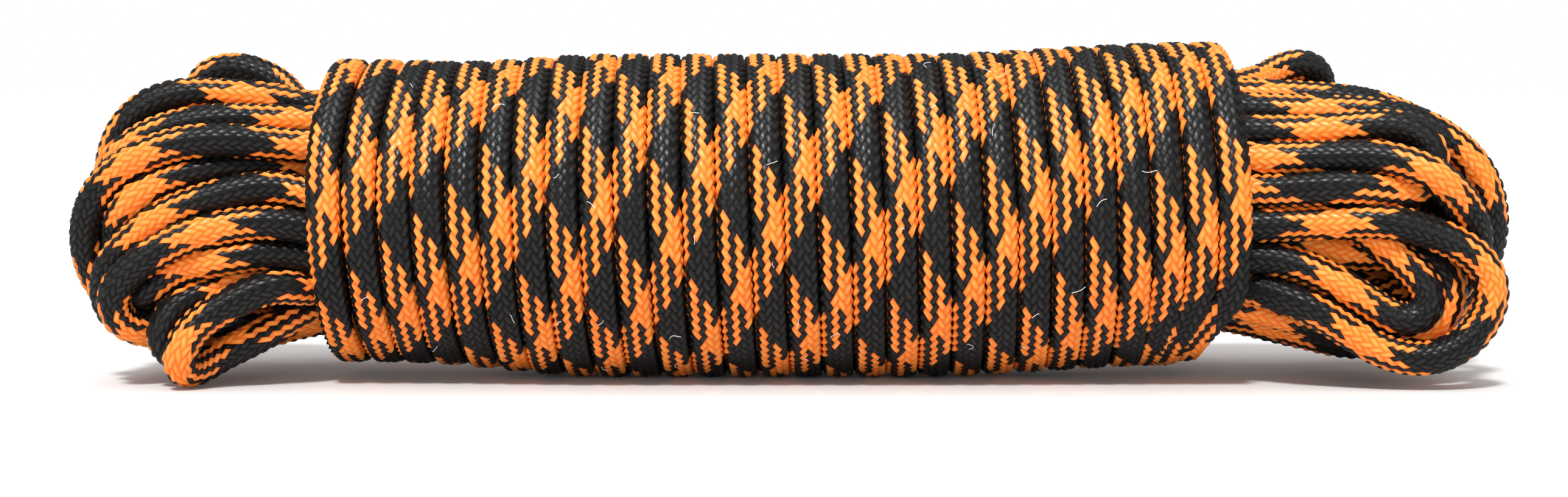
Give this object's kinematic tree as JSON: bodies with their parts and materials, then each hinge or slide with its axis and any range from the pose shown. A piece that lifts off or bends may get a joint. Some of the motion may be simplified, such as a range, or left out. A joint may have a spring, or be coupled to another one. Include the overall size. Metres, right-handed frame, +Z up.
{
  "type": "hank of braided utility cord",
  "caption": "Long braided orange and black cord folded into a hank and bound round the middle by a row of tight turns of its own end.",
  "frame": {"origin": "centre of the bounding box on the surface the hank lies on", "axes": "+X along the hank, +Y away from the viewer across it, +Z up"},
  "size_m": [0.182, 0.0408, 0.0405],
  "materials": {
    "frapping_turns": "woven filament sheath, orange and black",
    "hank_windings": "woven filament sheath, orange and black",
    "inner_windings": "woven filament sheath, in shade",
    "end_sheath": "woven filament sheath, orange and black",
    "core_strands": "twisted white filament yarn",
    "melted_tips": "fused and hardened fibre"
  },
  "bodies": {
    "root": {"frapping_turns": "frapping_turns", "outer_winding_01": "hank_windings", "outer_winding_02": "hank_windings", "outer_winding_03": "hank_windings", "outer_winding_04": "hank_windings", "outer_winding_05": "hank_windings", "outer_winding_06": "hank_windings", "outer_winding_07": "hank_windings", "outer_winding_08": "hank_windings", "outer_winding_09": "hank_windings", "outer_winding_10": "hank_windings", "outer_winding_11": "hank_windings", "inner_windings": "inner_windings", "start_end_sheath": "end_sheath", "start_end_core_strand_1": "core_strands", "start_end_core_strand_2": "core_strands", "start_end_core_strand_3": "core_strands", "start_end_core_strand_4": "core_strands", "start_end_core_strand_5": "core_strands", "start_end_core_strand_6": "core_strands", "start_end_core_strand_7": "core_strands", "start_end_melted_tip": "melted_tips", "finish_end_sheath": "end_sheath", "finish_end_core_strand_1": "core_strands", "finish_end_core_strand_2": "core_strands", "finish_end_core_strand_3": "core_strands", "finish_end_core_strand_4": "core_strands", "finish_end_core_strand_5": "core_strands", "finish_end_core_strand_6": "core_strands", "finish_end_core_strand_7": "core_strands", "finish_end_melted_tip": "melted_tips"}
  },
  "joints": []
}
